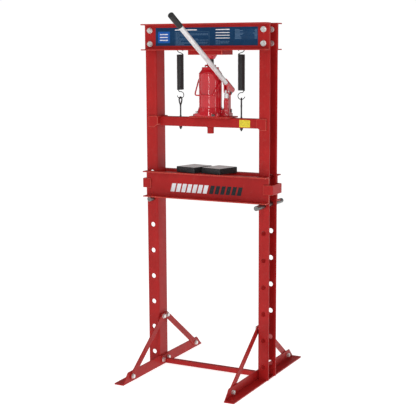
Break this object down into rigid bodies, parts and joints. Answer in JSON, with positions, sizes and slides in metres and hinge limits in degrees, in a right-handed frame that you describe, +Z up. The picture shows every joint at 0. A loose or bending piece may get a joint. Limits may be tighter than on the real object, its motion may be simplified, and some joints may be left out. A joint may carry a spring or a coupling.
{
  "type": "hydraulic shop press",
  "caption": "Floor-standing H-frame press: bottle jack with pump handle on a sprung sliding carriage, adjustable bed on pins, press blocks and braced angle feet.",
  "frame": {"origin": "on the floor, at the centre of the four floor bolt holes in the feet", "axes": "+X to the press's right, -Y to its front where the handle points, +Z up"},
  "size_m": [0.618, 0.827, 1.5309],
  "materials": {
    "red_paint": "satin paint",
    "jack_paint": "gloss enamel",
    "zinc": "zinc plated",
    "dark_steel": "oiled dark steel",
    "black_steel": "black oxide",
    "bright_steel": "bright plated",
    "grip_rubber": "matt",
    "block_steel": "machined, dark sides",
    "label_blue": "printed film",
    "label_yellow": "printed film"
  },
  "bodies": {
    "frame": {"upright_left": "red_paint", "upright_right": "red_paint", "head_beam_front": "red_paint", "head_beam_rear": "red_paint", "head_plate": "red_paint", "head_bolts": "zinc", "head_nuts": "zinc", "spring_hangers": "zinc", "foot_left": "red_paint", "foot_right": "red_paint", "tie_bar": "red_paint", "brace_left_front": "red_paint", "brace_left_rear": "red_paint", "brace_right_front": "red_paint", "brace_right_rear": "red_paint", "lower_bolts": "zinc", "lower_nuts": "zinc", "brace_spacers": "zinc", "return_spring_left": "black_steel", "return_spring_right": "black_steel", "name_plate": "label_blue"},
    "bed": {"bed_channel_front": "red_paint", "bed_channel_rear": "red_paint", "bed_strap_left": "red_paint", "bed_strap_right": "red_paint"},
    "pin_left": {"bed_pin_left": "dark_steel"},
    "pin_right": {"bed_pin_right": "dark_steel"},
    "block_left": {"press_block_left": "block_steel"},
    "block_right": {"press_block_right": "block_steel"},
    "carriage": {"carriage_beam": "red_paint", "carriage_guide_left": "red_paint", "carriage_guide_right": "red_paint", "jack_plate": "red_paint", "punch": "red_paint", "eye_bolts": "black_steel", "eye_nuts": "black_steel", "jack_base": "jack_paint", "jack_reservoir": "jack_paint", "jack_cylinder": "bright_steel", "jack_head": "jack_paint", "filler_plug": "zinc", "pump_cylinder": "jack_paint", "pump_link": "jack_paint", "link_pins": "dark_steel", "hold_down_bolt": "zinc", "beam_label": "label_yellow"},
    "ram": {"jack_ram": "jack_paint"},
    "screw": {"extension_screw": "black_steel", "saddle": "jack_paint"},
    "plunger": {"pump_plunger": "bright_steel"},
    "lever": {"handle_socket": "jack_paint"},
    "handle": {"handle_tube": "bright_steel", "handle_grip": "grip_rubber"},
    "bail": {"carry_bail": "jack_paint"},
    "valve": {"release_valve": "zinc"}
  },
  "joints": [
    {"name": "carriage_slide", "type": "slide", "parent": "frame", "child": "carriage", "axis": [0, 0, -1], "range_m": [0, 0.13], "stiffness_N_per_m": 3900, "springref_m": -0.06, "deforming": ["return_spring_left", "return_spring_right"]},
    {"name": "ram_slide", "type": "slide", "parent": "carriage", "child": "ram", "axis": [0, 0, 1], "range_m": [0, 0.13]},
    {"name": "screw_extend", "type": "slide", "parent": "ram", "child": "screw", "axis": [0, 0, 1], "range_m": [-0.018, 0]},
    {"name": "lever_swing", "type": "hinge", "parent": "carriage", "child": "lever", "pos_m": [0.072, 0.031, 1.212], "axis": [1, 0, 0], "range_deg": [-10, 25]},
    {"name": "plunger_slide", "type": "slide", "parent": "carriage", "child": "plunger", "axis": [0, 0, -1], "range_m": [-0.0046, 0.0114]},
    {"name": "handle_pull", "type": "slide", "parent": "lever", "child": "handle", "axis": [0, -0.8695, 0.4939], "range_m": [0, 0.09]},
    {"name": "valve_turn", "type": "hinge", "parent": "carriage", "child": "valve", "pos_m": [0.042, -0.05, 1.123], "axis": [0, -1, 0], "range_deg": [0, 120]},
    {"name": "bail_swing", "type": "hinge", "parent": "carriage", "child": "bail", "pos_m": [0, 0, 1.27], "axis": [1, 0, 0], "range_deg": [-60, 0]},
    {"name": "bed_lift", "type": "slide", "parent": "frame", "child": "bed", "axis": [0, 0, 1], "range_m": [0, 0.02]},
    {"name": "pin_left_pull", "type": "slide", "parent": "frame", "child": "pin_left", "axis": [0, -1, 0], "range_m": [0, 0.25]},
    {"name": "pin_right_pull", "type": "slide", "parent": "frame", "child": "pin_right", "axis": [0, -1, 0], "range_m": [0, 0.25]},
    {"name": "block_left_slide", "type": "slide", "parent": "bed", "child": "block_left", "axis": [-1, 0, 0], "range_m": [0, 0.06]},
    {"name": "block_right_slide", "type": "slide", "parent": "bed", "child": "block_right", "axis": [1, 0, 0], "range_m": [0, 0.06]}
  ],
  "couplings": [
    {"joint": "ram_slide", "follows": "carriage_slide", "ratio": 1},
    {"joint": "plunger_slide", "follows": "lever_swing", "m_per_rad": 0.026}
  ]
}
